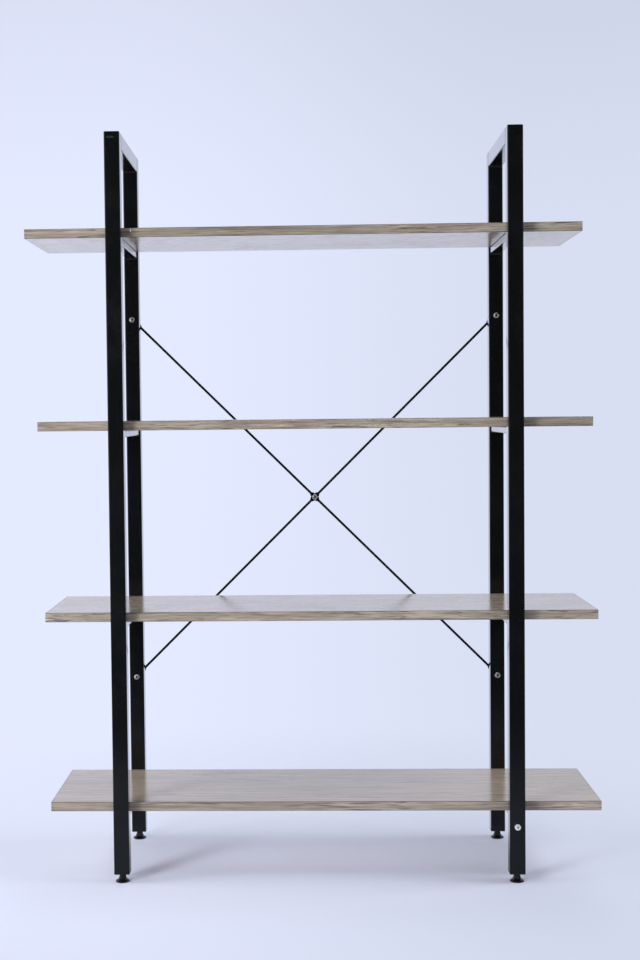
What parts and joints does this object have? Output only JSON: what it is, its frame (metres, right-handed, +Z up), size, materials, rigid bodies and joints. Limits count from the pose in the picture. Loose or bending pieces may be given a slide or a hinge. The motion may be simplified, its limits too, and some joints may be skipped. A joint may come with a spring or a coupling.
{
  "type": "open shelving unit",
  "caption": "Tall open shelving unit: wood-look boards on square-tube ladder frames at each side, a crossed rod brace behind and a levelling foot under each post.",
  "frame": {"origin": "middle of the whole unit's bounding box in plan, at floor level under the soles of the feet", "axes": "+X to the right along the boards, +Y from the front to the back, +Z up; the viewer of the picture stands on the -Y side"},
  "size_m": [1.0994, 0.348, 1.44],
  "materials": {
    "black_paint": "smooth black gloss powder coat",
    "oak_laminate": "satin grey-brown oak laminate with matching edge band",
    "zinc": "bright zinc-plated steel",
    "black_plastic": "moulded black plastic, slightly glossy"
  },
  "bodies": {
    "frame": {"post_front_left": "black_paint", "post_front_right": "black_paint", "post_rear_left": "black_paint", "post_rear_right": "black_paint", "top_bar_left": "black_paint", "top_bar_right": "black_paint", "rung_left_1": "black_paint", "rung_left_2": "black_paint", "rung_left_3": "black_paint", "rung_left_4": "black_paint", "rung_right_1": "black_paint", "rung_right_2": "black_paint", "rung_right_3": "black_paint", "rung_right_4": "black_paint", "shelf_board_1": "oak_laminate", "shelf_board_2": "oak_laminate", "shelf_board_3": "oak_laminate", "shelf_board_4": "oak_laminate", "brace_rod_rising": "black_paint", "brace_rod_falling": "black_paint", "brace_centre_bolt": "zinc", "brace_centre_nut": "zinc", "brace_bolt_lower_left": "zinc", "brace_bolt_lower_right": "zinc", "brace_bolt_upper_left": "zinc", "brace_bolt_upper_right": "zinc", "brace_nut_lower_left": "zinc", "brace_nut_lower_right": "zinc", "brace_nut_upper_left": "zinc", "brace_nut_upper_right": "zinc", "post_bolt": "zinc", "post_rivet_nut": "zinc", "shelf_screw_1_left_front": "black_paint", "shelf_screw_1_left_rear": "black_paint", "shelf_screw_1_right_front": "black_paint", "shelf_screw_1_right_rear": "black_paint", "shelf_screw_2_left_front": "black_paint", "shelf_screw_2_left_rear": "black_paint", "shelf_screw_2_right_front": "black_paint", "shelf_screw_2_right_rear": "black_paint", "shelf_screw_3_left_front": "black_paint", "shelf_screw_3_left_rear": "black_paint", "shelf_screw_3_right_front": "black_paint", "shelf_screw_3_right_rear": "black_paint", "shelf_screw_4_left_front": "black_paint", "shelf_screw_4_left_rear": "black_paint", "shelf_screw_4_right_front": "black_paint", "shelf_screw_4_right_rear": "black_paint", "foot_plug_front_left": "black_plastic", "foot_plug_front_right": "black_plastic", "foot_plug_rear_left": "black_plastic", "foot_plug_rear_right": "black_plastic"},
    "stem_front_left": {"foot_stem_front_left": "zinc"},
    "stem_front_right": {"foot_stem_front_right": "zinc"},
    "stem_rear_left": {"foot_stem_rear_left": "zinc"},
    "stem_rear_right": {"foot_stem_rear_right": "zinc"},
    "base_front_left": {"foot_base_front_left": "black_plastic"},
    "base_front_right": {"foot_base_front_right": "black_plastic"},
    "base_rear_left": {"foot_base_rear_left": "black_plastic"},
    "base_rear_right": {"foot_base_rear_right": "black_plastic"}
  },
  "joints": [
    {"name": "foot_travel_front_left", "type": "slide", "parent": "frame", "child": "stem_front_left", "axis": [0, 0, -1], "range_m": [0, 0.01]},
    {"name": "foot_travel_front_right", "type": "slide", "parent": "frame", "child": "stem_front_right", "axis": [0, 0, -1], "range_m": [0, 0.01]},
    {"name": "foot_travel_rear_left", "type": "slide", "parent": "frame", "child": "stem_rear_left", "axis": [0, 0, -1], "range_m": [0, 0.01]},
    {"name": "foot_travel_rear_right", "type": "slide", "parent": "frame", "child": "stem_rear_right", "axis": [0, 0, -1], "range_m": [0, 0.01]},
    {"name": "foot_turn_front_left", "type": "hinge", "parent": "stem_front_left", "child": "base_front_left", "pos_m": [-0.37525, -0.15363, 0], "axis": [0, 0, -1], "range_deg": [0, 3600]},
    {"name": "foot_turn_front_right", "type": "hinge", "parent": "stem_front_right", "child": "base_front_right", "pos_m": [0.38475, -0.15363, 0], "axis": [0, 0, -1], "range_deg": [0, 3600]},
    {"name": "foot_turn_rear_left", "type": "hinge", "parent": "stem_rear_left", "child": "base_rear_left", "pos_m": [-0.37525, 0.14638, 0], "axis": [0, 0, -1], "range_deg": [0, 3600]},
    {"name": "foot_turn_rear_right", "type": "hinge", "parent": "stem_rear_right", "child": "base_rear_right", "pos_m": [0.38475, 0.14638, 0], "axis": [0, 0, -1], "range_deg": [0, 3600]}
  ],
  "couplings": [
    {"joint": "foot_travel_front_left", "follows": "foot_turn_front_left", "m_per_rad": 0.00015915},
    {"joint": "foot_travel_front_right", "follows": "foot_turn_front_right", "m_per_rad": 0.00015915},
    {"joint": "foot_travel_rear_left", "follows": "foot_turn_rear_left", "m_per_rad": 0.00015915},
    {"joint": "foot_travel_rear_right", "follows": "foot_turn_rear_right", "m_per_rad": 0.00015915}
  ]
}
